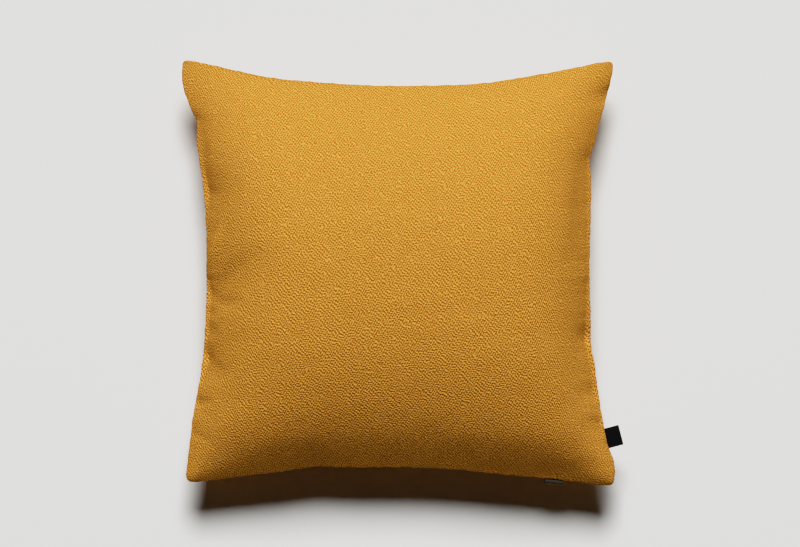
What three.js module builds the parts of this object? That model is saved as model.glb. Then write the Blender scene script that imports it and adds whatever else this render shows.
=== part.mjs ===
// A filled square cushion lying on its back, in millimetres. The face looks up (+Z), its top edge
// points to +Y and the edge that carries the side label to +X. The origin is on the surface that the
// cushion lies on, at the middle of the flat patch that its own weight presses into the back.

import * as THREE from 'three';
import { ParametricGeometry } from 'three/addons/geometries/ParametricGeometry.js';
import { mergeGeometries, mergeVertices } from 'three/addons/utils/BufferGeometryUtils.js';

// The cushion: corner to corner sizes of the filled cover, and how far filling draws each edge in
const WIDTH = 500;
const LENGTH = 492;
const DRAW_IN = { left: 32, right: 32, top: 33, bottom: 25 };
const CORNER_CUT = 0.012; // share of the half diagonal that the blunt corners lose
const CORNER_POWER = 36; // a higher power keeps that rounding nearer to the corner

// Heights: the seam above the surface, and the crowns of the face and the back measured from it
const SEAM_HEIGHT = 68;
const CORNER_DROOP = 8;
const FACE_CROWN = 82;
const BACK_CROWN = 80;
const CROWN_POWER = 0.54; // 0.5 would be an ellipse, a little more lets the panels meet in a crease

// The labels: folded strips sewn into the seam, both leaves and the fold as one solid
const SEAM_GAP = 0.35; // from the seam to the sewn end of a label
const SIDE_LABEL = { along: 23, out: 16, thick: 1.2, fromBottom: 59 };
const SEAM_TAB = { along: 21, out: 5.5, down: 16, thick: 1, bend: 3, fromRight: 72 };

const PANEL_CELLS = 34; // grid cells along each side of a panel
const FOLD_SEGMENTS = 6; // straight steps in a label's round fold
const WELD = 1e-3;

const CLOTH = new THREE.MeshStandardMaterial({ color: 0xc08a1e, roughness: 0.95, metalness: 0 });
const BLACK_WEAVE = new THREE.MeshStandardMaterial({ color: 0x161616, roughness: 0.8, metalness: 0 });
const GREY_WEAVE = new THREE.MeshStandardMaterial({ color: 0x55564f, roughness: 0.85, metalness: 0 });

// Where a point of the cover lies in plan. u runs from -1 at the left edge to 1 at the right, v from
// -1 at the bottom edge to 1 at the top. Each edge bows in as a parabola, and the corners are blunt.
function planPoint(u, v) {
  const blunt = 1 - CORNER_CUT * Math.pow(Math.abs(u * v), CORNER_POWER);
  const sideways = u > 0 ? DRAW_IN.right : DRAW_IN.left;
  const lengthways = v > 0 ? DRAW_IN.top : DRAW_IN.bottom;
  return {
    x: u * blunt * (WIDTH / 2 - sideways * (1 - v * v)),
    y: v * blunt * (LENGTH / 2 - lengthways * (1 - u * u)),
  };
}

// The height of the seam's surface, which hangs a little lower towards the four corners.
function seamHeight(u, v) {
  return SEAM_HEIGHT - CORNER_DROOP * u * u * v * v;
}

// The share of the full crown at a point: 1 in the middle, 0 all along the seam.
function crownShare(u, v) {
  return Math.pow((1 - u * u) * (1 - v * v), CROWN_POWER);
}

// A grid step from 0 to 1 as a place from -1 to 1, with the cells closest together at the seam.
function towardsSeam(step) {
  const place = Math.sin((step - 0.5) * Math.PI);
  return Math.abs(place) > 1 - 1e-12 ? Math.sign(place) : place;
}

// One panel of the cover. The face crowns upwards. The back crowns downwards, and is pressed flat
// where it meets the surface.
function panelGeometry(isFace) {
  const surface = (s, t, target) => {
    const u = towardsSeam(isFace ? s : 1 - s);
    const v = towardsSeam(t);
    const { x, y } = planPoint(u, v);
    const crown = isFace ? FACE_CROWN : -BACK_CROWN;
    target.set(x, y, Math.max(0, seamHeight(u, v) + crown * crownShare(u, v)));
  };
  return new ParametricGeometry(surface, PANEL_CELLS, PANEL_CELLS);
}

// The filled cover as one closed solid: the two panels welded to each other all along the seam.
function cushionGeometry() {
  const cover = mergeGeometries([panelGeometry(true), panelGeometry(false)]);
  cover.deleteAttribute('normal');
  cover.deleteAttribute('uv');
  const welded = mergeVertices(cover, WELD);
  welded.computeVertexNormals();
  return welded;
}

// The seam at one place: the point itself, the direction along the seam with the cushion on its left,
// the horizontal direction straight out of it, and the one that completes them upwards.
function seamFrame(u, v) {
  const along = Math.abs(u) === 1 ? [0, 0.01 * u] : [-0.01 * v, 0];
  const at = (step) => {
    const [pu, pv] = [u + along[0] * step, v + along[1] * step];
    const { x, y } = planPoint(pu, pv);
    return new THREE.Vector3(x, y, seamHeight(pu, pv));
  };
  const tangent = at(1).sub(at(-1)).normalize();
  const outward = new THREE.Vector3(tangent.y, -tangent.x, 0).normalize();
  return { point: at(0), tangent, outward, up: new THREE.Vector3().crossVectors(outward, tangent) };
}

// A mesh whose section, drawn as outward and upward from the seam, is swept along the seam.
function sewnInMesh(name, section, width, frame, material) {
  const geometry = new THREE.ExtrudeGeometry(section, {
    depth: width,
    bevelEnabled: false,
    curveSegments: FOLD_SEGMENTS,
  });
  geometry.translate(0, 0, -width / 2);
  const mesh = new THREE.Mesh(geometry, material);
  mesh.name = name;
  const sweep = frame.tangent.clone().negate();
  const basis = new THREE.Matrix4().makeBasis(frame.outward, frame.up, sweep);
  mesh.quaternion.setFromRotationMatrix(basis);
  mesh.position.copy(frame.point);
  return mesh;
}

// The side label's section: straight out of the seam, with the strip's round fold at its outer end.
function sideLabelSection({ out, thick }) {
  const half = thick / 2;
  const section = new THREE.Shape();
  section.moveTo(SEAM_GAP, -half);
  section.lineTo(out - half, -half);
  section.absarc(out - half, 0, half, -Math.PI / 2, Math.PI / 2, false);
  section.lineTo(SEAM_GAP, half);
  section.closePath();
  return section;
}

// The seam tab's section: a short way out of the seam, a soft bend, then hanging down behind the edge.
function seamTabSection({ out, down, thick, bend }) {
  const half = thick / 2;
  const turn = out - half - bend;
  const section = new THREE.Shape();
  section.moveTo(SEAM_GAP, -half);
  section.lineTo(turn, -half);
  section.absarc(turn, -bend, bend - half, Math.PI / 2, 0, true);
  section.lineTo(out - thick, -down + half);
  section.absarc(out - half, -down + half, half, Math.PI, 2 * Math.PI, false);
  section.lineTo(out, -bend);
  section.absarc(turn, -bend, bend + half, 0, Math.PI / 2, false);
  section.lineTo(SEAM_GAP, half);
  section.closePath();
  return section;
}

const group = new THREE.Group();

const cushion = new THREE.Mesh(cushionGeometry(), CLOTH);
cushion.name = 'cushion';
group.add(cushion);

const labelFrame = seamFrame(1, (2 * SIDE_LABEL.fromBottom) / LENGTH - 1);
group.add(sewnInMesh('side_label', sideLabelSection(SIDE_LABEL), SIDE_LABEL.along, labelFrame, BLACK_WEAVE));

const tabFrame = seamFrame(1 - (2 * SEAM_TAB.fromRight) / WIDTH, -1);
group.add(sewnInMesh('seam_tab', seamTabSection(SEAM_TAB), SEAM_TAB.along, tabFrame, GREY_WEAVE));

export default group;
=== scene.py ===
"""The square cushion: a filled mustard crepe cover lying on its back, its side label and its seam tab.

Everything is in metres in the row frame: +Z up out of the face, +Y towards the top edge, +X towards the edge
with the side label, and the origin on the surface under the middle of the cushion.
"""

import logging
import math
from dataclasses import dataclass, field
from enum import Enum

import bpy
import numpy as np
from mathutils import Matrix, Vector

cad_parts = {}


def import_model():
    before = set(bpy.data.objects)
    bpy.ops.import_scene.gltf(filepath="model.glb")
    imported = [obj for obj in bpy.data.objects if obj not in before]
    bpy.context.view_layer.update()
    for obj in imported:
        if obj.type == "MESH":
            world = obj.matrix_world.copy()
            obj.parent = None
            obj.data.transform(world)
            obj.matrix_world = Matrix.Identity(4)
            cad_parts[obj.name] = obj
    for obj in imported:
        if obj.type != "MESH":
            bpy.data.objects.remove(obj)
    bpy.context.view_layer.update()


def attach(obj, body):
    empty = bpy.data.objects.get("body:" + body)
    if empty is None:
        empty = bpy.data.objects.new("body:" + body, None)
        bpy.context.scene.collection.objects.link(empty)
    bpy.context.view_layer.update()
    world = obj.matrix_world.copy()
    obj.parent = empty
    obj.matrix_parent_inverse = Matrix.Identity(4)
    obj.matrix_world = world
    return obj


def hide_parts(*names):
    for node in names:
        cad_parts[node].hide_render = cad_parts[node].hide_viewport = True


LOG = logging.getLogger("cushion")
MM = 0.001
BODY = "root"
PHOTO_SIZE = (800, 547)
# The middle of the cushion in the photograph, in its pixels
PHOTO_CENTRE = (397.8, 272.5)
METRES_PER_PIXEL = 1.14 * MM
SEAM_HEIGHT = 68 * MM
CLOTH_MAP = "cloth"
BAKE_MAP = "OFBake"
# On the flat maps, the cover's back lies this many sides beside its face, and a strip's second side this many
# widths beside its first
PANEL_SHIFT = 1.5
FACE_SHIFT = 1.1
TINY = 1e-12
Array = np.ndarray


def linear(hex_colour: str, alpha: float = 1.0) -> tuple[float, float, float, float]:
    """Turns an sRGB hex colour into linear light.

    Args:
        hex_colour: six hex digits, with or without a leading #.
        alpha: the fourth number of the result.

    Returns:
        Linear red, green and blue, and alpha.
    """
    digits = hex_colour.lstrip("#")
    encoded = [int(digits[i : i + 2], 16) / 255 for i in (0, 2, 4)]
    light = [c / 12.92 if c <= 0.04045 else ((c + 0.055) / 1.055) ** 2.4 for c in encoded]
    return (light[0], light[1], light[2], alpha)


def add_node(
    tree: bpy.types.NodeTree, kind: str, settings: dict | None = None, **links: object
) -> bpy.types.Node:
    """Adds one node with its settings and links.

    Args:
        tree: the node tree that gets it.
        kind: the node's type name, without the ShaderNode in front.
        settings: attributes of the node by name.
        links: a value or an output socket for each input, named with _ for a blank or inN for input number N.

    Returns:
        The new node.
    """
    node = tree.nodes.new("ShaderNode" + kind)
    for name, value in (settings or {}).items():
        setattr(node, name, value)
    for name, value in links.items():
        key = int(name[2:]) if name[:2] == "in" and name[2:].isdigit() else name.replace("_", " ")
        socket = node.inputs[key]
        if isinstance(value, bpy.types.NodeSocket):
            tree.links.new(value, socket)
        else:
            socket.default_value = value
    return node


class Edge(Enum):
    """The cover's four seams, by the side of the face that each one closes."""

    LEFT = "left"
    RIGHT = "right"
    TOP = "top"
    BOTTOM = "bottom"


class Panel(Enum):
    """The cover's two panels. The value is the way that each one crowns."""

    FACE = 1
    BACK = -1


@dataclass(frozen=True)
class Pull:
    """A short stretch of a seam that lies further in, or out, than the seam's even bow. In millimetres.

    Attributes:
        at: place along the seam, from its middle, positive upwards or to the right.
        depth: how much further in it lies, negative for out.
        reach: the stretch's half width.
        drop: how much lower the seam hangs there.
    """

    at: float
    depth: float
    reach: float
    drop: float = 0.0

    def share(self, place: Array, near: Array, half: float) -> Array:
        """How much of the pull is felt: a Gaussian along the seam, halved at its own reach into the panel.

        Args:
            place: place along the seam, from its middle, in millimetres.
            near: how near the seam it is, from 0 in the middle of the panel to 1 at the seam.
            half: half the panel's side in metres.

        Returns:
            The share, from 0 to 1.
        """
        least_power = 2.5
        power = max(math.log(2) * half / MM / self.reach, least_power)
        return np.exp(-(((place - self.at) / self.reach) ** 2)) * near**power


@dataclass(frozen=True)
class Seam:
    """One seam in plan: an even bow between its two corners, with its own pulls. In millimetres.

    Attributes:
        draw_in: how far the middle lies inside the straight line between the corners.
        pulls: the seam's uneven places.
        phase: where its fine ripple starts.
        ripple: height of each of the ripple's waves.
        waves: of the ripple, each as its length for one radian and how often the phase turns it.
        ripple_power: a higher power keeps the ripple nearer to the seam.
        corner_fade: a higher number brings the uneven places nearer to the corners.
    """

    draw_in: float
    pulls: tuple[Pull, ...]
    phase: float = 0.0
    ripple: float = 0.16
    waves: tuple[tuple[float, float], ...] = ((2.1, 1), (3.4, -2), (5.3, 0))
    ripple_power: float = 9
    corner_fade: float = 8

    def bow(self, along: Array) -> Array:
        """The even bow, a parabola that is draw_in deep in the middle. along runs from -1 to 1."""
        return self.draw_in * MM * (1 - along**2)

    def uneven(self, along: Array, near: Array, half: float) -> Array:
        """What the seam adds to its bow: a Gaussian dip for each pull, and the fine ripple of the stitching.

        Args:
            along: place along the seam as a share of its half length, from -1 to 1.
            near: how near the seam it is, from 0 in the middle of the panel to 1 at the seam.
            half: the seam's half length in metres.

        Returns:
            The extra inset at each place, fading to nothing at the corners.
        """
        place = along * half / MM
        found = sum(pull.depth * pull.share(place, near, half) for pull in self.pulls)
        waves = sum(np.sin(place / length + turns * self.phase) for length, turns in self.waves)
        inset = (found + self.ripple * waves * near**self.ripple_power) * MM
        return inset * np.clip((1 - along**2) * self.corner_fade, 0, 1)

    def hang(self, along: Array, near: Array, half: float) -> Array:
        """How much lower than its level the cover hangs at each place, by the drops of the seam's pulls."""
        return MM * sum(pull.drop * pull.share(along * half / MM, near, half) for pull in self.pulls)


@dataclass(frozen=True)
class Fold:
    """A soft trough or ridge of a panel, from one place in plan to another. In millimetres.

    Attributes:
        start: x and y of the end next to the seam, from the middle of the cushion. It may lie past the seam.
        end: x and y of the other end.
        width: half width of its bell-shaped section at the start.
        rise: height at its highest place, negative for a trough.
        widening: how many times as wide it is at its end.
        lower: how many times as wide its section is on the side towards the bottom edge.
    """

    start: tuple[float, float]
    end: tuple[float, float]
    width: float
    rise: float
    widening: float = 1.3
    lower: float = 1.0

    def height(self, x: Array, y: Array) -> Array:
        """Its height at places in plan.

        With a from 0 at the start to 1 at the end, the height along it goes as a (1 - a)^1.5, scaled so that
        its highest place is rise, and across it as a Gaussian bell.

        Args:
            x: places across, in metres.
            y: places upwards, in metres.

        Returns:
            The height in metres.
        """
        step = np.subtract(self.end, self.start) * MM
        length = float(np.hypot(*step))
        from_start = (x - self.start[0] * MM, y - self.start[1] * MM)
        along = np.clip((from_start[0] * step[0] + from_start[1] * step[1]) / length**2, 0, 1)
        across = (from_start[1] * step[0] - from_start[0] * step[1]) / length
        width = self.width * MM * (1 + (self.widening - 1) * along)
        width = width * np.where(across * step[0] < 0, self.lower, 1)
        power = 1.5
        peak = 1 / (1 + power)
        highest = peak * (1 - peak) ** power
        return self.rise * MM * along * (1 - along) ** power / highest * np.exp(-((across / width) ** 2))


# Each fold: start, end, width and rise, then its widening and how wide it is on its lower side
LEFT_FOLDS = (
    Fold((-223, 170), (-218, 60), 6.5, -2.2, 1.0),
    Fold((-222, -20), (-222, -150), 24, -2.5, 1.0),
    Fold((-244, 88), (-170, 96), 19, -3.2, 1.1, 1.3),
    Fold((-238, 88), (-198, 91), 5, -1.0),
    Fold((-218, -8), (-198, 60), 5, 5.0, 0.9),
    Fold((-228, -34), (-140, 34), 12, -5.2, 1.3, 2.2),
    Fold((-238, -29), (-200, -24), 6, -2.4),
    Fold((-212, -38), (-172, -31), 8, -2.4),
    Fold((-238, -47), (-200, -44), 6, -2.0),
    Fold((-238, -67), (-200, -66), 6, -2.0),
    Fold((-246, -84), (-190, -122), 10, -3.8, 1.2, 1.8),
    Fold((-245, -150), (-206, -147), 5.7, -2.6),
    Fold((-244, -177), (-203, -198), 4, -0.9),
    Fold((-244, -145), (-200, -173), 4, -0.7),
)
RIGHT_FOLDS = (
    Fold((212, 140), (204, -30), 13, -4.2, 1.0),
    Fold((222, -5), (222, -185), 30, -4.5, 1.0),
    Fold((244, 146), (205, 146), 7, -0.8),
    Fold((248, -73), (198, -75), 9, -1.8, 1.3, 1.4),
    Fold((248, -132), (198, -141), 8, -2.4, 1.3, 1.3),
    Fold((247, -176), (203, -169), 8, -2.8, 1.3, 1.6),
    Fold((236, -220), (150, -230), 10, -1.0, 1.2),
)
LOWER_SWELLS = (
    Fold((-237, -186), (-55, -175), 30, 2.6, 1.0),
    Fold((230, -191), (25, -175), 27, 2.4, 1.0),
)
BACK_FOLDS = (
    Fold((-244, 150), (-170, 141), 12, -3.4),
    Fold((-238, 62), (-160, 55), 14, -4.0, 1.4),
    Fold((-236, -20), (-182, -12), 8, -2.4),
    Fold((-240, -92), (-158, -82), 13, -3.8, 1.4),
    Fold((-246, -171), (-188, -160), 9, -2.6),
    Fold((244, 168), (178, 158), 11, -3.6),
    Fold((238, 88), (182, 96), 8, -2.2),
    Fold((236, 14), (158, 4), 14, -4.0, 1.4),
    Fold((240, -70), (184, -62), 9, -2.6),
    Fold((248, -150), (174, -158), 12, -3.6),
    Fold((-150, 240), (-140, 180), 12, -3.2),
    Fold((-42, 232), (-50, 158), 15, -3.4, 1.4),
    Fold((74, 232), (66, 176), 10, -2.6),
    Fold((168, 240), (160, 186), 10, -2.8),
    Fold((-160, -242), (-150, -180), 11, -3.0),
    Fold((-60, -236), (-52, -168), 14, -3.2, 1.4),
    Fold((40, -236), (46, -186), 9, -2.2),
    Fold((128, -240), (118, -176), 12, -3.2),
)


@dataclass(frozen=True)
class Settling:
    """The cloth simulation that lets the sewn, filled cover settle on the floor.

    The rim stays where the seam is, air pressure stands in for the filling, and the floor holds the back, whose
    flat patch Cover.surface has already made. It moves the cloth by less than 2 mm.

    Attributes:
        cells: of the coarse cover along one side of a panel.
        frames: how long it runs.
        pressure: of the filling, outwards.
        mass: of each point of the cloth.
        stretch: how stiffly the cloth resists being pulled or pressed along itself.
        shear: how stiffly it resists being pulled askew.
        bending: how stiffly it resists being bent.
        quality: steps of the simulation in each frame.
        floor_half: half a side of the floor.
        floor_gap: how far off the floor the cloth stays.
        floor_rest: how far below zero the floor lies. The settled back then ends 0.3 mm above zero.
        most_moved: the cap on how far a point may move.
    """

    cells: int = 88
    frames: int = 20
    pressure: float = 4.0
    mass: float = 0.3
    stretch: float = 15.0
    shear: float = 5.0
    bending: float = 5.0
    quality: int = 5
    floor_half: float = 1.0
    floor_gap: float = 1 * MM
    floor_rest: float = 1.45 * MM
    most_moved: float = 8 * MM

    def run(self, cover: bpy.types.Object, rim: Array) -> Array:
        """Steps the cloth through its frames and reads where its points came to rest.

        Args:
            cover: the coarse cover, which is removed at the end.
            rim: the numbers of its rim points.

        Returns:
            How far each point moved, as rows of three, none further than most_moved.
        """
        scene = bpy.context.scene
        start = np.empty(len(cover.data.vertices) * 3, np.float32)
        cover.data.vertices.foreach_get("co", start)
        cover.vertex_groups.new(name="rim").add(rim.tolist(), 1.0, "REPLACE")
        corners = self.floor_half * np.array([[-1, -1, 0], [1, -1, 0], [1, 1, 0], [-1, 1, 0]])
        floor = mesh_object("settling_floor", corners - [0, 0, self.floor_rest], np.array([[0, 1, 2, 3]]))
        floor.modifiers.new("collision", "COLLISION")
        floor.collision.thickness_outer = self.floor_gap
        self.cloth(cover)
        for frame in range(1, self.frames + 1):
            scene.frame_set(frame)
        settled = cover.evaluated_get(bpy.context.evaluated_depsgraph_get())
        found = np.empty_like(start)
        settled.data.vertices.foreach_get("co", found)
        moved = (found - start).reshape(-1, 3).astype(float)
        far = np.linalg.norm(moved, axis=1, keepdims=True)
        LOG.info("settling: moved by %.1f mm at most, %.1f mm on average", far.max() / MM, far.mean() / MM)
        for spent in (cover, floor):
            bpy.data.objects.remove(spent, do_unlink=True)
        scene.frame_set(1)
        return moved * np.minimum(1, self.most_moved / np.maximum(far, TINY))

    def cloth(self, cover: bpy.types.Object) -> None:
        """Gives the coarse cover its Cloth modifier.

        Args:
            cover: the coarse cover, with its rim in the vertex group "rim".
        """
        cloth = cover.modifiers.new("settling", "CLOTH")
        springs = cloth.settings
        springs.quality = self.quality
        springs.mass = self.mass
        springs.tension_stiffness = springs.compression_stiffness = self.stretch
        springs.shear_stiffness = self.shear
        springs.bending_stiffness = self.bending
        springs.use_pressure = True
        springs.uniform_pressure_force = self.pressure
        springs.vertex_group_mass = "rim"
        springs.effector_weights.gravity = 0
        cloth.collision_settings.use_collision = True
        cloth.collision_settings.distance_min = self.floor_gap
        cloth.collision_settings.use_self_collision = False
        cloth.point_cache.frame_start = 1
        cloth.point_cache.frame_end = self.frames


@dataclass(frozen=True)
class SeamLip:
    """How a panel's edge rolls into the seam: a round lip of folded cloth, down to the stitches.

    Attributes:
        radius: of the lip's round.
        steps: straight steps in its round.
        start: where the round starts, above the horizontal.
        reach: how far into the panel the lip's lift is down to about a third.
    """

    radius: float = 1.5 * MM
    steps: int = 5
    start: float = math.radians(45)
    reach: float = 8 * MM

    def turns(self) -> Array:
        """The angle of each step past the first, down to straight below, where the two lips meet."""
        return np.linspace(self.start, -math.pi / 2, self.steps + 1)[1:]

    def widths(self) -> Array:
        """How much cloth each step has used since the round's start."""
        return self.radius * (self.start - self.turns())


# The x and y of each corner
CORNER_PLACES = {
    (Edge.LEFT, Edge.TOP): (-250.0 * MM, 246.2 * MM),
    (Edge.RIGHT, Edge.TOP): (249.9 * MM, 244.9 * MM),
    (Edge.LEFT, Edge.BOTTOM): (-245.3 * MM, -242.4 * MM),
    (Edge.RIGHT, Edge.BOTTOM): (250.8 * MM, -246.6 * MM),
}
# Each pull: its place along the seam, depth and reach, then its drop
LEFT_PULLS = (
    Pull(172, 4.4, 15),
    Pull(179, 0, 6, 2.5),
    Pull(81, 1.7, 57),
    Pull(-96, 0, 9, 3),
    Pull(-151, 0, 6, 2),
    Pull(-170, -3.4, 42),
    Pull(215, -3.2, 17),
)
RIGHT_PULLS = (
    Pull(207, 0, 13, 8),
    Pull(131, 3.0, 12),
    Pull(140, 5.7, 51),
    Pull(-72, 0, 12, 4),
    Pull(-82, 2.0, 16),
    Pull(-221, -3.6, 15),
)
SEAMS = {
    Edge.LEFT: Seam(29.6, LEFT_PULLS),
    Edge.RIGHT: Seam(31.8, RIGHT_PULLS, 1.1),
    Edge.TOP: Seam(32.8, (Pull(-145, 1.8, 40), Pull(95, 1.6, 40)), 2.3),
    Edge.BOTTOM: Seam(22.4, (Pull(-97, 3.2, 32), Pull(125, -2.1, 57)), 3.2),
}
# How far each panel rises from the seam
CROWNS = {Panel.FACE: 94 * MM, Panel.BACK: 80 * MM}
# How flat the crown runs towards each edge
FLATNESS = {Edge.LEFT: 4.3, Edge.RIGHT: 5.4, Edge.TOP: 2.0, Edge.BOTTOM: 2.7}
FOLDS = {Panel.FACE: LEFT_FOLDS + RIGHT_FOLDS + LOWER_SWELLS, Panel.BACK: BACK_FOLDS}
SEEDS = {Panel.FACE: 7, Panel.BACK: 8}


@dataclass
class Cover:
    """The filled cover: a face and a back panel, sewn to each other all round in a knife-edge seam.

    Both panels are functions of the cloth's own coordinates s and t, from -1 to 1 across the flat panel.

    Attributes:
        cloth: what it is cut from.
        settling: the simulation that it goes through.
        lip: how its panels roll into the seam.
        cells: of the fine grid along one side of a panel.
        flat_side: a side of a panel before it is filled.
        half_span: half the filled panel's width across its middle, about.
        corner_places: x and y of each corner.
        seams: the seam along each edge.
        seam_height: of the seam above the floor.
        corner_droop: how much lower the seam hangs at the corners.
        crowns: how far each panel rises from the seam.
        flatness: how flat the crown runs towards each edge, as the power in crown_share.
        fullness: how full the bottom edge stays towards its corners, in crown_share.
        crown_power: the power of the whole crown.
        crown_softness: how gently the crown leaves the seam.
        ear_height: how far the filling plumps up each corner.
        ear_reach: how far from the seams it takes to get there.
        ear_power: a higher power keeps it nearer to the corner.
        corner_cut: the share of the way to the corner that its rounding takes off.
        corner_power: a higher power keeps that rounding nearer to the corner.
        lip_power: a higher power keeps the lip's inset nearer to the seam.
        fold_fade: how far from the seam the folds and the unevenness have most of their height.
        fade_power: a higher power lets them set in more suddenly.
        unevenness: height of the filling's waves, at uneven_middle waves to the metre.
        uneven_waves: how many waves it is made of.
        uneven_range: their fewest and their most to the metre.
        uneven_middle: how many to the metre a wave of that height has. Finer waves are lower.
        seeds: of the random draws for each panel's waves.
        folds: of each panel.
    """

    cloth: "CrepeCloth"
    settling: Settling = Settling()
    lip: SeamLip = SeamLip()
    cells: int = 210
    flat_side: float = 500 * MM
    half_span: float = 219 * MM
    corner_places: dict[tuple[Edge, Edge], tuple[float, float]] = field(default_factory=lambda: CORNER_PLACES)
    seams: dict[Edge, Seam] = field(default_factory=lambda: SEAMS)
    seam_height: float = SEAM_HEIGHT
    corner_droop: float = 8 * MM
    crowns: dict[Panel, float] = field(default_factory=lambda: CROWNS)
    flatness: dict[Edge, float] = field(default_factory=lambda: FLATNESS)
    fullness: float = 0.97
    crown_power: float = 0.63
    crown_softness: float = 0.8
    ear_height: float = 5 * MM
    ear_reach: float = 17 * MM
    ear_power: float = 8
    corner_cut: float = 0.022
    corner_power: float = 28
    lip_power: float = 34
    fold_fade: float = 2.5 * MM
    fade_power: float = 1.5
    unevenness: float = 0.05 * MM
    uneven_waves: int = 14
    uneven_range: tuple[float, float] = (12, 38)
    uneven_middle: float = 16
    seeds: dict[Panel, int] = field(default_factory=lambda: SEEDS)
    folds: dict[Panel, tuple[Fold, ...]] = field(default_factory=lambda: FOLDS)

    def crown_share(self, u: Array, v: Array) -> Array:
        """The share of the full crown: 1 in the middle, 0 along the seams.

        With a = 1 - |u|^m and b = 1 - |v|^n, for the flatness m or n of the seam on that side, the body is
        a b / (1 - f (1 - a) (1 - b)). There f is the fullness times ((1 - v) / 2)^2: the filling has sunk
        towards the bottom edge, whose slope stays steep right up to its two corners. The share goes as the
        body to crown_power, offset by crown_softness so that it has a slope and no cliff at the seam.

        Args:
            u: plan share across.
            v: plan share upwards.

        Returns:
            The share at each place.
        """
        sideways = np.where(u > 0, self.flatness[Edge.RIGHT], self.flatness[Edge.LEFT])
        endways = np.where(v > 0, self.flatness[Edge.TOP], self.flatness[Edge.BOTTOM])
        across = np.clip(1 - np.abs(u) ** sideways, 0, 1)
        upwards = np.clip(1 - np.abs(v) ** endways, 0, 1)
        full = self.fullness * ((1 - v) / 2) ** 2
        body = across * upwards / (1 - full * (1 - across) * (1 - upwards))
        soft, power = self.crown_softness, self.crown_power
        return ((body + soft) ** power - soft**power) / ((1 + soft) ** power - soft**power)

    def ear(self, u: Array, v: Array) -> Array:
        """How far the filling plumps up the four corner ears.

        From each seam it rises as the parabola 1 - (1 - d)^2, where d is the distance over ear_reach, and it
        goes as |u v|^ear_power, so that it belongs to the corners only.

        Args:
            u: plan share across.
            v: plan share upwards.

        Returns:
            The height that it adds.
        """
        plump = self.ear_height * np.abs(u * v) ** self.ear_power
        for place in (u, v):
            distance = np.clip(self.half_span * (1 - np.abs(place)) / self.ear_reach, 0, 1)
            plump = plump * (1 - (1 - distance) ** 2)
        return plump

    def seam_level(self, u: Array, v: Array) -> Array:
        """The seam's height, carried inwards: it hangs lower at the corners and where a pull drops it.

        Args:
            u: plan share across.
            v: plan share upwards.

        Returns:
            The height of each place before it is crowned.
        """
        level = self.seam_height - self.corner_droop * u**2 * v**2
        for edge, seam in self.seams.items():
            towards, along = (u, v) if edge in (Edge.LEFT, Edge.RIGHT) else (v, u)
            near = np.clip(-towards if edge in (Edge.LEFT, Edge.BOTTOM) else towards, 0, 1)
            level = level - seam.hang(along, near, self.flat_side / 2)
        return level

    def spread(self, place: Array, sideways: bool) -> Array:
        """Where a place on the flat panel lies between the seams once the panel is crowned.

        The middle section of the panel is an arc whose height follows crown_share. Its length is summed
        from the middle outwards and read backwards, so that equal steps of cloth stay equal on the arc.

        Args:
            place: the cloth coordinate, from -1 to 1.
            sideways: whether the section runs from the left seam to the right one.

        Returns:
            The share of the way to the seam in plan, from -1 to 1.
        """
        arc_points = 4001
        share = np.sin(np.linspace(0, math.pi / 2, arc_points))
        level = 0 * share
        section = (share, level) if sideways else (level, share)
        height = self.crowns[Panel.FACE] * self.crown_share(*section)
        steps = np.hypot(np.diff(share * self.half_span), np.diff(height))
        length = np.concatenate([[0.0], np.cumsum(steps)])
        return np.sign(place) * np.interp(np.abs(place), length / length[-1], share)

    def shares(self, s: Array, t: Array) -> tuple[Array, Array]:
        """The plan shares u and v of cloth places: spread in the middle, and even along the seams.

        How much of the spread applies goes as the half circle over the other coordinate, because the panel
        has no crown left at its seams.

        Args:
            s: cloth coordinate across.
            t: cloth coordinate upwards.

        Returns:
            The shares u and v, from -1 to 1.
        """
        u = s + (self.spread(s, True) - s) * np.sqrt(np.clip(1 - t**2, 0, 1))
        v = t + (self.spread(t, False) - t) * np.sqrt(np.clip(1 - s**2, 0, 1))
        return u, v

    def plan(self, u: Array, v: Array) -> tuple[Array, Array]:
        """Where the cover lies in plan: the corners blended, less each seam's inset, blunt at the corners.

        A seam's bow fades evenly to the middle of the panel. Its uneven places only move the cloth near it.

        Args:
            u: share of the way from the left seam, -1, to the right one, 1.
            v: share of the way from the bottom seam, -1, to the top one, 1.

        Returns:
            The x and y of each point.
        """
        share = {Edge.LEFT: 1 - u, Edge.RIGHT: 1 + u, Edge.BOTTOM: 1 - v, Edge.TOP: 1 + v}
        corners = [(share[side] * share[end] / 4, place) for (side, end), place in self.corner_places.items()]
        x, y = (sum(weight * place[axis] for weight, place in corners) for axis in (0, 1))
        half = self.flat_side / 2
        for edge, seam in self.seams.items():
            towards, along = (u, v) if edge in (Edge.LEFT, Edge.RIGHT) else (v, u)
            inwards = 1 if edge in (Edge.LEFT, Edge.BOTTOM) else -1
            near = np.clip(-inwards * towards, 0, 1)
            inset = inwards * (near * seam.bow(along) + seam.uneven(along, near, half))
            if edge in (Edge.LEFT, Edge.RIGHT):
                x = x + inset
            else:
                y = y + inset
        blunt = 1 - self.corner_cut * np.abs(u * v) ** self.corner_power
        return x * blunt, y * blunt

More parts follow.
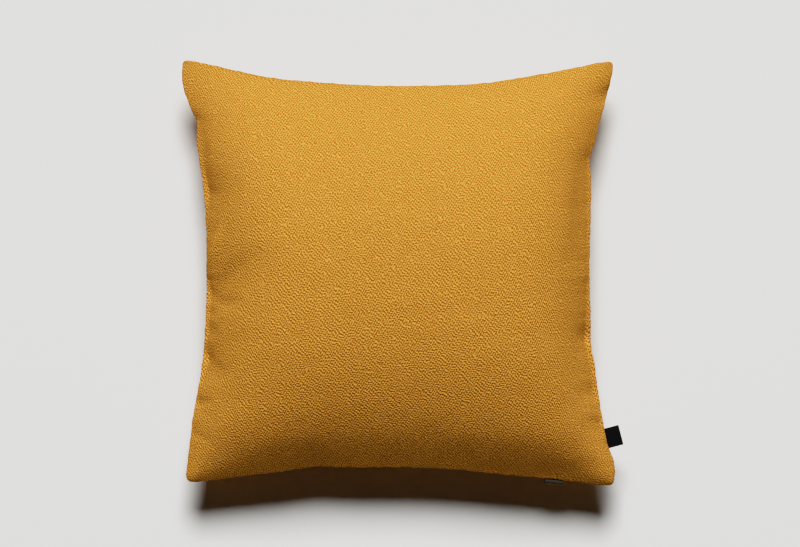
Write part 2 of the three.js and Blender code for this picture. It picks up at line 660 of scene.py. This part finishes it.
    def relief(self, x: Array, y: Array, rim_distance: Array, panel: Panel) -> Array:
        """The height of the folds and of the filling's slight unevenness, which both fade out at the rim.

        The unevenness is a sum of sine waves in seeded directions.

        Args:
            x: places across, in plan.
            y: places upwards, in plan.
            rim_distance: how far each place is from the seam, in flat cloth.
            panel: which panel it is.

        Returns:
            The height above the smooth crown.
        """
        total = sum(fold.height(x, y) for fold in self.folds[panel])
        draws = np.random.default_rng(self.seeds[panel])
        for _ in range(self.uneven_waves):
            direction = draws.normal(size=2)
            per_metre = draws.uniform(*self.uneven_range)
            direction = direction / np.hypot(*direction) * per_metre
            turn = 2 * math.pi * (direction[0] * x + direction[1] * y) + draws.uniform(0, 2 * math.pi)
            total = total + self.unevenness * math.sqrt(self.uneven_middle / per_metre) * np.sin(turn)
        return total * (1 - np.exp(-((rim_distance / self.fold_fade) ** self.fade_power)))

    def surface(self, s: Array, t: Array, panel: Panel, finished: bool) -> Array:
        """The crowned panel: its plan, the height of its seam, its share of the crown, and its relief.

        Args:
            s: cloth coordinate across, from -1 to 1.
            t: cloth coordinate upwards, from -1 to 1.
            panel: which panel it is.
            finished: whether the folds are in it and the rim is lifted to where the seam's lip starts.

        Returns:
            The points, one row of three for each place.
        """
        u, v = self.shares(s, t)
        x, y = self.plan(u, v)
        rim_distance = self.flat_side / 2 * np.minimum(1 - np.abs(s), 1 - np.abs(t))
        rise = self.crowns[panel] * self.crown_share(u, v) + self.ear(u, v)
        if finished:
            near = np.exp(-rim_distance / self.lip.reach)
            rise = rise + self.lip.radius * (1 + math.sin(self.lip.start)) * near
            inset = self.lip.radius * (1 - math.cos(self.lip.start)) * near
            x = x - inset * np.sign(u) * np.abs(u) ** self.lip_power
            y = y - inset * np.sign(v) * np.abs(v) ** self.lip_power
        points = np.stack([x, y, self.seam_level(u, v) + panel.value * rise], -1)
        if finished:
            out = np.cross(np.gradient(points, axis=0), np.gradient(points, axis=1)) * panel.value
            out = out / (np.linalg.norm(out, axis=-1, keepdims=True) + TINY)
            points = points + out * self.relief(x, y, rim_distance, panel)[..., None]
        points[..., 2] = np.maximum(points[..., 2], 0)
        return points

    def settle(self, fine: Array) -> dict[Panel, Array]:
        """How far the simulation moves the points of the fine grid.

        The coarse cover's moves are carried over by Catmull-Rom interpolation, first across and then upwards.

        Args:
            fine: the fine grid's cloth coordinates along one side.

        Returns:
            The moves of each panel's points.
        """
        step = np.linspace(-1, 1, self.settling.cells + 1)
        s, t = np.meshgrid(step, step, indexing="ij")
        face = self.surface(s, t, Panel.FACE, finished=False)
        back = self.surface(s, t, Panel.BACK, finished=False)
        count = len(step)
        front = np.arange(count * count).reshape(count, count)
        inner = np.zeros((count, count), bool)
        inner[1:-1, 1:-1] = True
        rear = front.copy()
        rear[inner] = count * count + np.arange(inner.sum())
        points = np.concatenate([face.reshape(-1, 3), back[inner]])
        quads = np.concatenate([grid_quads(front, False), grid_quads(rear, True)])
        moved = self.settling.run(mesh_object("settling_cover", points, quads), front[~inner])
        carry = carry_over(count, fine)
        return {
            Panel.FACE: np.einsum("ai,bj,ijc->abc", carry, carry, moved[front], optimize=True),
            Panel.BACK: np.einsum("ai,bj,ijc->abc", carry, carry, moved[rear], optimize=True),
        }

    def build(self) -> bpy.types.Object:
        """Makes the cover's mesh, settled and sewn, and dresses it.

        Returns:
            The cover.
        """
        step = np.linspace(-1, 1, self.cells + 1)
        s, t = np.meshgrid(step, step, indexing="ij")
        moves = self.settle(step)
        panels = {panel: self.surface(s, t, panel, finished=True) + moves[panel] for panel in Panel}
        for points in panels.values():
            points[..., 2] = np.maximum(points[..., 2], 0)
        loop = rim_loop(self.cells + 1)
        rings = self.lip_rings(panels, loop)
        per_panel = (self.cells + 1) ** 2
        grid = np.arange(per_panel).reshape(self.cells + 1, -1)
        ring_size, ring_count = len(loop), self.lip.steps
        points = [panels[Panel.FACE].reshape(-1, 3), panels[Panel.BACK].reshape(-1, 3)]
        points += [rings[Panel.FACE].reshape(-1, 3), rings[Panel.BACK][:-1].reshape(-1, 3)]
        first = {Panel.FACE: 2 * per_panel, Panel.BACK: 2 * per_panel + ring_count * ring_size}
        stitches = first[Panel.FACE] + (ring_count - 1) * ring_size + np.arange(ring_size)
        quads, flat = [], []
        flat_side = np.stack([s, t], -1) * self.flat_side / 2
        flat_rings = self.flat_rings(flat_side, loop)
        for number, panel in enumerate(Panel):
            shift = [number * self.flat_side * PANEL_SHIFT, 0]
            turned = panel is Panel.BACK
            numbers = grid + number * per_panel
            order = grid_quads(grid, turned)
            quads.append(grid_quads(numbers, turned))
            flat.append(flat_side.reshape(-1, 2)[order] + shift)
            rows = [numbers.ravel()[loop]]
            rows += [first[panel] + k * ring_size + np.arange(ring_size) for k in range(ring_count - 1)]
            rows.append(stitches)
            quads.append(ring_quads(np.array(rows), turned))
            places = np.arange((ring_count + 1) * ring_size).reshape(ring_count + 1, -1)
            flat.append(flat_rings.reshape(-1, 2)[ring_quads(places, turned)] + shift)
        cover = mesh_object("cover", np.concatenate(points), np.concatenate(quads))
        give_maps(cover, np.concatenate(flat).reshape(-1, 2))
        cover.data.materials.append(self.cloth.material())
        return cover

    def lip_rings(self, panels: dict[Panel, Array], loop: Array) -> dict[Panel, Array]:
        """The rings of points round each panel's rim, from the lip's start down to the stitches.

        Each ring is the rim moved along a circle of the lip's radius, in the plane of the rim's outward and
        upward directions. Both panels share the last ring, half way between their two.

        Args:
            panels: the panels' points.
            loop: the rim's numbers in a panel's grid, once round.

        Returns:
            For each panel its rings, ring by place by three.
        """
        made = {}
        radius = self.lip.radius
        for panel, points in panels.items():
            rim = points.reshape(-1, 3)[loop]
            outward = outward_of(rim[:, :2])
            centre = rim.copy()
            centre[:, :2] -= outward * radius * math.cos(self.lip.start)
            centre[:, 2] -= panel.value * radius * math.sin(self.lip.start)
            rings = np.repeat(centre[None], self.lip.steps, 0)
            turns = self.lip.turns()[:, None]
            rings[..., :2] += outward[None] * radius * np.cos(turns)[..., None]
            rings[..., 2] += panel.value * radius * np.sin(turns)
            made[panel] = rings
        stitches = (made[Panel.FACE][-1] + made[Panel.BACK][-1]) / 2
        for rings in made.values():
            rings[-1] = stitches
        return made

    def flat_rings(self, flat: Array, loop: Array) -> Array:
        """Where the rim and the lip's rings lie on the flat cloth: outside the panel, by the cloth they use.

        Args:
            flat: the panel's grid on the flat cloth.
            loop: the rim's numbers in that grid, once round.

        Returns:
            The flat places, ring by place by two.
        """
        rim = flat.reshape(-1, 2)[loop]
        away = np.where(np.abs(np.abs(rim) - self.flat_side / 2) < TINY, np.sign(rim), 0)
        widths = np.concatenate([[0], self.lip.widths()])
        return rim[None] + away[None] * widths[:, None, None]

    def seam_frame(self, u: float, v: float) -> tuple[Vector, Vector, Vector, Vector]:
        """The seam at one place, for what is sewn into it.

        Args:
            u: plan share across.
            v: plan share upwards. One of the two is -1 or 1.

        Returns:
            The stitches' place, the direction along the seam with the cushion on its left, the level
            direction straight out, and the one that completes them upwards.
        """
        small = 0.01
        step = small * np.array([-1, 0, 1])
        us, vs = (u + 0 * step, v + step * u) if abs(u) == 1 else (u - step * v, v + 0 * step)
        before, here, after = (Vector(place) for place in zip(*self.plan(us, vs), self.seam_level(us, vs)))
        along = (after - before).normalized()
        outward = Vector((along.y, -along.x, 0)).normalized()
        return here - outward * self.lip.radius, along, outward, outward.cross(along)


def carry_over(count: int, fine: Array) -> Array:
    """The weights that carry values on an even coarse grid over to finer places, by the Catmull-Rom cubic.

    Args:
        count: how many places the coarse grid has from -1 to 1.
        fine: the places to carry to.

    Returns:
        One row of weights over the coarse grid for each fine place.
    """
    place = (fine + 1) / 2 * (count - 1)
    cell = np.clip(np.floor(place), 0, count - 2).astype(int)
    f = place - cell
    cubic = [
        (-f + 2 * f**2 - f**3) / 2,
        (2 - 5 * f**2 + 3 * f**3) / 2,
        (f + 4 * f**2 - 3 * f**3) / 2,
        (-(f**2) + f**3) / 2,
    ]
    weights = np.zeros((len(fine), count))
    for offset, weight in enumerate(cubic):
        np.add.at(weights, (np.arange(len(fine)), np.clip(cell + offset - 1, 0, count - 1)), weight)
    return weights


def grid_quads(index: Array, turned: bool) -> Array:
    """The quads of a grid of vertex numbers, anticlockwise seen from above, or clockwise where turned."""
    corners = [index[:-1, :-1], index[1:, :-1], index[1:, 1:], index[:-1, 1:]]
    return np.stack(corners[::-1] if turned else corners, -1).reshape(-1, 4)


def ring_quads(index: Array, turned: bool) -> Array:
    """The quads between closed rings of vertex numbers, inner to outer, anticlockwise unless turned."""
    after = np.roll(index, -1, axis=1)
    corners = [index[:-1], index[1:], after[1:], after[:-1]]
    return np.stack(corners[::-1] if turned else corners, -1).reshape(-1, 4)


def rim_loop(count: int) -> Array:
    """The numbers of a square grid's rim points, once round, anticlockwise seen from above."""
    grid = np.arange(count * count).reshape(count, count)
    return np.concatenate([grid[:-1, 0], grid[-1, :-1], grid[:0:-1, -1], grid[0, :0:-1]])


def outward_of(loop: Array) -> Array:
    """The direction straight out of a loop in plan, at each of its points.

    Args:
        loop: the x and y of its points, anticlockwise.

    Returns:
        Rows of two, one unit long.
    """
    along = np.roll(loop, -1, axis=0) - np.roll(loop, 1, axis=0)
    out = np.stack([along[:, 1], -along[:, 0]], -1)
    return out / np.linalg.norm(out, axis=1, keepdims=True)


def mesh_object(name: str, points: Array, quads: Array) -> bpy.types.Object:
    """Makes a smooth-shaded object from points and quads.

    Args:
        name: the object's name.
        points: rows of three.
        quads: rows of four vertex numbers, each anticlockwise seen from outside.

    Returns:
        The new object, at the origin.
    """
    mesh = bpy.data.meshes.new(name)
    mesh.vertices.add(len(points))
    mesh.vertices.foreach_set("co", points.astype(np.float32).ravel())
    mesh.loops.add(quads.size)
    mesh.loops.foreach_set("vertex_index", quads.astype(np.int32).ravel())
    mesh.polygons.add(len(quads))
    mesh.polygons.foreach_set("loop_start", np.arange(0, quads.size, 4, dtype=np.int32))
    mesh.update(calc_edges=True)
    mesh.validate()
    mesh.polygons.foreach_set("use_smooth", np.ones(len(quads), bool))
    made = bpy.data.objects.new(name, mesh)
    bpy.context.scene.collection.objects.link(made)
    return made


def give_maps(piece: bpy.types.Object, flat: Array) -> None:
    """Gives a piece its cloth map, in metres of flat cloth, and the same layout fitted to the bake's square.

    Args:
        piece: the piece.
        flat: the flat place of each face corner.
    """
    low = flat.min(0)
    size = float((flat.max(0) - low).max())
    margin = 0.01
    for name, places in ((CLOTH_MAP, flat), (BAKE_MAP, margin + (flat - low) / size * (1 - 2 * margin))):
        layer = piece.data.uv_layers.new(name=name)
        layer.uv.foreach_set("vector", places.astype(np.float32).ravel())


def directions(line: Array) -> tuple[Array, Array]:
    """The unit directions along a line in a plane, and a quarter turn to the left, at each of its points.

    Args:
        line: rows of two.

    Returns:
        The directions along it and the ones to its left, as rows of two.
    """
    along = np.gradient(line, axis=0)
    along = along / np.linalg.norm(along, axis=1, keepdims=True)
    return along, np.stack([-along[:, 1], along[:, 0]], -1)


@dataclass(frozen=True)
class FoldedStrip:
    """A woven strip, folded once, with its two ends sewn into the seam.

    Attributes:
        name: of the piece.
        node: the CAD node that it replaces.
        slot: the record's slot for its finish; not used.
        edge: the seam that it is sewn into.
        at: its middle, as a share of that seam's half length.
        width: along the seam.
        out: how far it stands out of the stitches.
        finish: the weave that it is cut from.
        down: how far it hangs down past a bend, or 0 where it stands straight out.
        bend: the radius of that bend.
        thickness: of one leaf.
        gap: between the two leaves' middles.
        droop: how far the free end of a straight strip sinks.
        sunk: how far inside the stitches a straight strip's sewn ends lie.
        slant: how far it was turned when it was sewn in, anticlockwise seen from above.
        lean: a hanging strip leans in by this times the square of its drop past the bend, over down.
        curl: how far its free end waves up and down.
        curl_turn: how many radians of that wave go into its width.
        curl_start: where the wave starts.
        cells: along each stretch of its length, and across it.
        fold_cells: round its fold.
        level_cells: along the level start of a hanging strip.
        sharp_from: the angle from which its edges are shaded sharp.
    """

    name: str
    node: str
    slot: str
    edge: Edge
    at: float
    width: float
    out: float
    finish: "NarrowWeave"
    down: float = 0.0
    bend: float = 3 * MM
    thickness: float = 0.5 * MM
    gap: float = 0.56 * MM
    droop: float = 0.8 * MM
    sunk: float = 0.0
    slant: float = 0.0
    lean: float = 0.3
    curl: float = 0.25 * MM
    curl_turn: float = 5.1
    curl_start: float = 0.6
    cells: int = 12
    fold_cells: int = 8
    level_cells: int = 4
    sharp_from: float = math.radians(50)

    def spine(self) -> Array:
        """The strip's middle line between its two leaves.

        It runs straight out of the seam and sinks as a parabola. Or it runs level, takes a quarter round down
        and hangs from there, leaning in as a parabola.

        Returns:
            Its points, outward and upward of the stitches.
        """
        if not self.down:
            share = np.linspace(0, 1, 2 * self.cells)
            out = share * (self.out - self.gap / 2) - self.sunk * (1 - share)
            return np.stack([out, -self.droop * share**2], -1)
        turn = self.out - self.bend - self.gap / 2
        angle = np.linspace(0, math.pi / 2, self.cells)
        level = np.linspace((0, 0), (turn, 0), self.level_cells + 1)[:-1]
        round_part = np.stack([turn + self.bend * np.sin(angle), self.bend * (np.cos(angle) - 1)], -1)
        fall = np.linspace(-self.bend, -self.down, self.cells)[1:]
        hanging = np.stack([turn + self.bend - self.lean * (fall + self.bend) ** 2 / self.down, fall], -1)
        return np.concatenate([level, round_part, hanging])

    def centre_line(self) -> Array:
        """The leaves' centre line: the spine moved up by half the gap, a half round at its end, and back.

        Returns:
            Its points, outward and upward of the stitches.
        """
        spine = self.spine()
        along, up = directions(spine)
        half = self.gap / 2
        angle = np.linspace(math.pi / 2, -math.pi / 2, self.fold_cells + 1)[1:-1, None]
        fold = spine[-1] + half * (np.cos(angle) * along[-1] + np.sin(angle) * up[-1])
        return np.concatenate([spine + half * up, fold, (spine - half * up)[::-1]])

    def build(self, cover: Cover) -> bpy.types.Object:
        """Sweeps the strip's flat section along its centre line and closes its two sewn ends.

        Args:
            cover: the cover that it is sewn into.

        Returns:
            The strip.
        """
        line = self.centre_line()
        thick = directions(line)[1] * self.thickness / 2
        share = np.linspace(-1, 1, self.cells + 1)
        across = np.concatenate([share, share[::-1]]) * self.width / 2
        side = np.repeat([1, -1], self.cells + 1)
        section = line[:, None] + thick[:, None] * side[None, :, None]
        wave = self.curl * np.sin(across / self.width * self.curl_turn + self.curl_start)
        wave = wave[None] * (section[..., 0] / self.out) ** 2
        u, v = (1, self.at) if self.edge is Edge.RIGHT else (self.at, -1)
        place, tangent, outward, up = cover.seam_frame(u, v)
        turned = Matrix.Rotation(self.slant, 3, up)
        tangent, outward = turned @ tangent, turned @ outward
        points = (
            np.array(place)
            + section[..., :1] * np.array(outward)
            + (section[..., 1:] + wave[..., None]) * np.array(up)
            + across[None, :, None] * np.array(tangent)
        )
        numbers = np.arange(len(line) * len(across)).reshape(len(line), -1)
        quads = [ring_quads(numbers, False)]
        for row, flipped in ((numbers[0], False), (numbers[-1], True)):
            upper, lower = row.reshape(2, -1)
            quads.append(grid_quads(np.stack([upper, lower[::-1]], 1), flipped))
        quads = np.concatenate(quads)
        strip = mesh_object(self.name, points.reshape(-1, 3), quads)
        length = np.concatenate([[0], np.cumsum(np.linalg.norm(np.diff(line, axis=0), axis=1))])
        flat_across = np.concatenate([share, 2 * FACE_SHIFT + share]) * self.width / 2
        flat = np.stack(np.broadcast_arrays(flat_across[None], length[:, None]), -1).reshape(-1, 2)
        give_maps(strip, flat[quads].reshape(-1, 2))
        strip.data.set_sharp_from_angle(angle=self.sharp_from)
        strip.data.materials.append(self.finish.material(self.width))
        return strip

    def declare(self, strip: bpy.types.Object, cover: bpy.types.Object) -> None:
        """Args:
            strip: the built strip.
            cover: the cover that it is sewn into; not used.
        """
        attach(strip, BODY)
        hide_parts(self.node)


@dataclass(frozen=True)
class Ripple:
    """One set of ridges in the crepe.

    Attributes:
        pitch: from ridge to ridge.
        direction: the way across the ridges, from the cloth's x.
        share: its part of the relief.
        wander: how many pitches its ridges stray, 0 for straight ones.
        wander_size: the length along the ridges over which they stray.
        wander_width: the width across them over which neighbouring ridges stray alike.
    """

    pitch: float
    direction: float
    share: float
    wander: float = 0.0
    wander_size: float = 5.5 * MM
    wander_width: float = 14 * MM

    def height(self, tree: bpy.types.NodeTree, cloth: bpy.types.NodeSocket) -> bpy.types.NodeSocket:
        """Adds its nodes: the sine of the distance across, in pitches, with a phase that wanders by a noise.

        Args:
            tree: the material's node tree.
            cloth: the cloth coordinates, in metres.

        Returns:
            The height, from -1 to 1.
        """
        across = (math.cos(self.direction), math.sin(self.direction))

        def measured(way: tuple[float, float], unit: float) -> bpy.types.NodeSocket:
            """Adds the node for the distance along one way over the cloth, counted in units."""
            scaled = (way[0] / unit, way[1] / unit, 0)
            product = add_node(tree, "VectorMath", {"operation": "DOT_PRODUCT"}, in0=cloth, in1=scaled)
            return product.outputs["Value"]

        phase = measured(across, self.pitch / (2 * math.pi))
        if self.wander:
            wide = measured(across, self.wander_width)
            long = measured((-across[1], across[0]), self.wander_size)
            place = add_node(tree, "CombineXYZ", None, X=wide, Y=long).outputs[0]
            flat = {"noise_dimensions": "2D"}
            noise = add_node(tree, "TexNoise", flat, Vector=place, Scale=1.0, Detail=1.0).outputs[0]
            swing = 4 * math.pi * self.wander
            added = {"operation": "MULTIPLY_ADD"}
            phase = add_node(tree, "Math", added, in0=noise, in1=swing, in2=phase).outputs[0]
        return add_node(tree, "Math", {"operation": "SINE"}, in0=phase).outputs[0]


@dataclass(frozen=True)
class CrepeCloth:
    """Wool-blend crepe, piece dyed mustard and woven from hard-twisted yarn.

    The twist throws the face up in short wavy ridges over the two slanting lines of the weave itself. The
    ridges' mustard is lightened with painted light, and the pits' is darkened and browned with painted shade.
    It has no shine at all.

    Attributes:
        ripples: the weave's two straight lines, then the crepe's two sets of wandering ridges.
        crispness: the part of the ripples' joint height at which a ridge or a pit is full: less is crisper.
        ridge_lit_colour: of the ridges, the mustard lightened with painted light.
        pit_shaded_colour: of the pits, the mustard darkened and browned with painted shade.
        relief: from the pits to the ridges.
        roughness: of its face.
        gloss: its specular level. At 0 it has no shine.
    """

    ripples: tuple[Ripple, ...] = (
        Ripple(3.42 * MM, math.radians(41), 0.6),
        Ripple(2.38 * MM, math.radians(-26), 1.0),
        Ripple(3.4 * MM, math.radians(53), 1.0, wander=1.4),
        Ripple(3.4 * MM, math.radians(112), 0.7, wander=1.4),
    )
    crispness: float = 0.62
    ridge_lit_colour: str = "#DA9C48"
    pit_shaded_colour: str = "#975508"
    relief: float = 0.85 * MM
    roughness: float = 0.6
    gloss: float = 0.0

    def material(self) -> bpy.types.Material:
        """Builds the cloth's nodes on the cover's own cloth map.

        The joint height of the ripples, clipped softly at crispness, mixes the pits' painted-shade colour and
        the ridges' painted-light colour, and is the bump.

        Returns:
            The material.
        """
        made = bpy.data.materials.new("mustard_wool_blend_crepe")
        made.use_nodes = True
        tree = made.node_tree
        shader = tree.nodes["Principled BSDF"]
        cloth = add_node(tree, "UVMap", {"uv_map": CLOTH_MAP}).outputs["UV"]
        added = {"operation": "MULTIPLY_ADD"}
        height = 0.0
        for ripple in self.ripples:
            one = ripple.height(tree, cloth)
            height = add_node(tree, "Math", added, in0=one, in1=ripple.share, in2=height).outputs[0]
        most = self.crispness * sum(ripple.share for ripple in self.ripples)
        soft = {"interpolation_type": "SMOOTHSTEP"}
        share = add_node(tree, "MapRange", soft, Value=height, From_Min=-most, From_Max=most).outputs[0]
        # Painted shade makes the pits darker and browner, and painted light makes the ridges lighter, over the
        # mustard dye
        shades = {"in6": linear(self.pit_shaded_colour), "in7": linear(self.ridge_lit_colour)}
        shade = add_node(tree, "Mix", {"data_type": "RGBA"}, in0=share, **shades).outputs[2]
        bump = add_node(tree, "Bump", None, Strength=1.0, Distance=self.relief, Height=share).outputs[0]
        tree.links.new(shade, shader.inputs["Base Color"])
        tree.links.new(bump, shader.inputs["Normal"])
        shader.inputs["Roughness"].default_value = self.roughness
        shader.inputs["Specular IOR Level"].default_value = self.gloss
        return made


@dataclass(frozen=True)
class NarrowWeave:
    """Narrow woven tape of fine polyester yarn, such as labels are cut from: flat, close and faintly ribbed.

    Its real ribs are 0.3 mm apart, too fine to show, so they are drawn three times as coarse.

    Attributes:
        name: of the material.
        colour: of the weave.
        edge_colour: of its two edges, a little paler where the yarns turn.
        rib_pitch: from rib to rib across the tape.
        cross_pace: how many ribs run along it for each one across.
        contrast: how far painted light lightens a rib, and painted shade darkens the hollow, from the colour.
        edge_start: where the edge colour starts, in widths from the middle.
        roughness: of its face.
        gloss: its specular level.
        relief: from the hollows to the ribs.
    """

    name: str
    colour: str
    edge_colour: str
    rib_pitch: float = 0.9 * MM
    cross_pace: float = 0.8
    contrast: float = 0.4
    edge_start: float = 0.46
    roughness: float = 0.75
    gloss: float = 0.08
    relief: float = 0.08 * MM

    def material(self, width: float) -> bpy.types.Material:
        """Builds the tape's nodes on its strip's own cloth map.

        The product of a sine across and a sine along mixes the colour darkened with painted shade in the
        hollows and lightened with painted light on the ribs, and is the bump. The distance from the middle of
        either face brings in the edge colour.

        Args:
            width: the strip's width.

        Returns:
            The material.
        """
        made = bpy.data.materials.new(self.name)
        made.use_nodes = True
        tree = made.node_tree
        shader = tree.nodes["Principled BSDF"]
        times = {"operation": "MULTIPLY"}
        mixed = {"data_type": "RGBA"}
        cloth = add_node(tree, "UVMap", {"uv_map": CLOTH_MAP}).outputs["UV"]
        apart = add_node(tree, "SeparateXYZ", None, Vector=cloth)
        turn = 2 * math.pi / self.rib_pitch
        ribs = []
        for axis, pace in (("X", turn), ("Y", turn * self.cross_pace)):
            scaled = add_node(tree, "Math", times, in0=apart.outputs[axis], in1=pace).outputs[0]
            ribs.append(add_node(tree, "Math", {"operation": "SINE"}, in0=scaled).outputs[0])
        woven = add_node(tree, "Math", times, in0=ribs[0], in1=ribs[1]).outputs[0]
        share = add_node(tree, "MapRange", None, Value=woven, From_Min=-1.0, From_Max=1.0).outputs[0]
        # Painted shade darkens the hollows and painted light lightens the ribs, by the bump's own height
        dark, light = (
            [c * bright for c in linear(self.colour)[:3]] + [1.0]
            for bright in (1 - self.contrast, 1 + self.contrast)
        )
        base = add_node(tree, "Mix", mixed, in0=share, in6=dark, in7=light).outputs[2]
        folded = FACE_SHIFT * width / 2
        middle = add_node(
            tree, "Math", {"operation": "PINGPONG"}, in0=apart.outputs["X"], in1=folded
        ).outputs[0]
        edge = {"From_Min": width * self.edge_start, "From_Max": width / 2}
        near = add_node(tree, "MapRange", None, Value=middle, **edge).outputs[0]
        shade = add_node(tree, "Mix", mixed, in0=near, in6=base, in7=linear(self.edge_colour)).outputs[2]
        bump = add_node(tree, "Bump", None, Strength=1.0, Distance=self.relief, Height=share).outputs[0]
        tree.links.new(shade, shader.inputs["Base Color"])
        tree.links.new(bump, shader.inputs["Normal"])
        shader.inputs["Roughness"].default_value = self.roughness
        shader.inputs["Specular IOR Level"].default_value = self.gloss
        return made


@dataclass
class Studio:
    """A pale floor, soft light from beyond the cushion's top edge and the camera straight over its face.

    Attributes:
        camera_height: above the floor.
        light_elevation: of the key light, above the horizontal.
        light_distance: from the cushion.
        light_size: its diameter.
        light_power: in watts.
        room_light: strength of the dim light of the room.
        room_colour: of that light, slightly warm.
        shoulder: how strongly the tone curve rolls off towards white.
        toe: the light below which it rolls off towards black.
        brightest: the shown value at which the curve ends.
        curve_points: how many points the curve has.
        floor_half: half a side of the floor.
        backdrop_half: half a side of the backdrop.
        backdrop_rise: how high it rises at its far sides.
        backdrop_drop: how far under the floor its flat part lies.
        sheet_points: along each side of the floor and the backdrop.
        paper_colour: of both.
        paper_roughness: of both.
    """

    camera_height: float = 6.0
    light_elevation: float = math.radians(50.5)
    light_distance: float = 16.0
    light_size: float = 7.2
    light_power: float = 5520.0
    room_light: float = 0.03
    room_colour: str = "#FFE9CC"
    shoulder: float = 0.6
    toe: float = 0.014
    brightest: float = 1.2
    curve_points: int = 25
    floor_half: float = 4.0
    backdrop_half: float = 8.0
    backdrop_rise: float = 4.0
    backdrop_drop: float = 1 * MM
    sheet_points: int = 41
    paper_colour: str = "#D8D8D6"
    paper_roughness: float = 0.9

    def build(self) -> None:
        """Sets the floor, the lights and the camera."""
        self.exposure()
        self.sheets()
        self.lights()
        self.camera()

    def exposure(self) -> None:
        """Gives the picture a camera's tone curve, with a soft toe and shoulder.

        A light x is shown as the d for which x^2 / (x + toe) = d exp(shoulder d^2).
        """
        view = bpy.context.scene.view_settings
        view.view_transform = "Standard"
        view.use_curve_mapping = True
        mapping = view.curve_mapping
        mapping.use_clip = False
        shown = self.brightest * np.linspace(0, 1, self.curve_points) ** 2
        rolled = shown * np.exp(self.shoulder * shown**2)
        light = (rolled + np.sqrt(rolled**2 + 4 * self.toe * rolled)) / 2
        combined = 3
        curve = mapping.curves[combined]
        curve.points[0].location = (0.0, 0.0)
        curve.points[1].location = (float(light[-1]), float(shown[-1]))
        for place in zip(light[1:-1], shown[1:-1]):
            curve.points.new(*map(float, place))
        mapping.update()

    def sheets(self) -> None:
        """Lays the plain pale floor, and hangs a backdrop beyond its left and top sides, for the low views.

        Beyond the floor the backdrop rises as a parabola. It throws no light back, so that it leaves the
        cushion's shading alone.
        """
        # Uncoated paper, a pale grey, matt from every side
        paper = bpy.data.materials.new("matt_white_paper")
        paper.use_nodes = True
        shader = paper.node_tree.nodes["Principled BSDF"]
        shader.inputs["Base Color"].default_value = linear(self.paper_colour)
        shader.inputs["Roughness"].default_value = self.paper_roughness
        for name, half, rise in (
            ("floor", self.floor_half, 0.0),
            ("backdrop", self.backdrop_half, self.backdrop_rise),
        ):
            place = np.linspace(-half, half, self.sheet_points)
            x, y = np.meshgrid(place, place, indexing="ij")
            beyond = np.clip(np.maximum(-x, y) - self.floor_half, 0, None)
            beyond = beyond / (self.backdrop_half - self.floor_half)
            points = np.stack([x, y, rise * beyond**2 - self.backdrop_drop * (rise > 0)], -1)
            quads = grid_quads(np.arange(x.size).reshape(x.shape), False)
            sheet = mesh_object(name, points.reshape(-1, 3), quads)
            sheet.data.materials.append(paper)
            if rise:
                sheet.visible_diffuse = sheet.visible_glossy = sheet.visible_shadow = False

    def lights(self) -> None:
        """Sets the large soft key light and the dim light of the room."""
        lamp = bpy.data.lights.new("key", "AREA")
        lamp.shape = "DISK"
        lamp.size = self.light_size
        lamp.energy = self.light_power
        key = bpy.data.objects.new("key", lamp)
        bpy.context.scene.collection.objects.link(key)
        way = Vector((0, math.cos(self.light_elevation), math.sin(self.light_elevation)))
        key.location = self.light_distance * way
        key.rotation_euler = (-way).to_track_quat("-Z", "Y").to_euler()
        world = bpy.data.worlds.new("room")
        world.use_nodes = True
        background = world.node_tree.nodes["Background"]
        background.inputs["Color"].default_value = linear(self.room_colour)
        background.inputs["Strength"].default_value = self.room_light
        bpy.context.scene.world = world

    def camera(self) -> None:
        """Hangs the camera over the face, with a long lens that fits the photograph's frame to the seam."""
        width = PHOTO_SIZE[0] * METRES_PER_PIXEL
        lens = bpy.data.cameras.new("camera")
        lens.sensor_width = 36.0
        lens.lens = lens.sensor_width * (self.camera_height - SEAM_HEIGHT) / width
        lens.clip_end = 50
        made = bpy.data.objects.new("camera", lens)
        bpy.context.scene.collection.objects.link(made)
        right = (PHOTO_SIZE[0] / 2 - PHOTO_CENTRE[0]) * METRES_PER_PIXEL
        down = (PHOTO_SIZE[1] / 2 - PHOTO_CENTRE[1]) * METRES_PER_PIXEL
        made.location = (right, -down, self.camera_height)
        bpy.context.scene.camera = made


def sewn_in_strips() -> tuple[FoldedStrip, ...]:
    """The two strips in the seam: the black side label, and the grey tab that bends down under the edge.

    Returns:
        The strips.
    """
    black = NarrowWeave("black_woven_polyester_tape", "#0C0C0C", "#121212")
    grey = NarrowWeave("grey_woven_polyester_tape", "#3C3A34", "#47463F")
    return (
        FoldedStrip(
            name="side_label_strip",
            node="side_label",
            slot="side_label_weave",
            edge=Edge.RIGHT,
            at=-0.768,
            width=23 * MM,
            out=18.6 * MM,
            sunk=1.5 * MM,
            slant=math.radians(5.5),
            finish=black,
        ),
        FoldedStrip(
            name="seam_tab_strip",
            node="seam_tab",
            slot="seam_tab_weave",
            edge=Edge.BOTTOM,
            at=0.71,
            width=21 * MM,
            out=7 * MM,
            down=15 * MM,
            finish=grey,
            thickness=0.42 * MM,
            gap=0.5 * MM,
        ),
    )


def main() -> None:
    """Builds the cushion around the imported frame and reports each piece."""
    logging.basicConfig(level=logging.INFO, format="%(message)s")
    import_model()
    Studio().build()
    cover = Cover(CrepeCloth())
    shell = cover.build()
    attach(shell, BODY)
    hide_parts("cushion")
    LOG.info("cover: %d faces", len(shell.data.polygons))
    for strip in sewn_in_strips():
        piece = strip.build(cover)
        strip.declare(piece, shell)
        LOG.info("%s: %d faces", piece.name, len(piece.data.polygons))


if __name__ == "__main__":
    main()
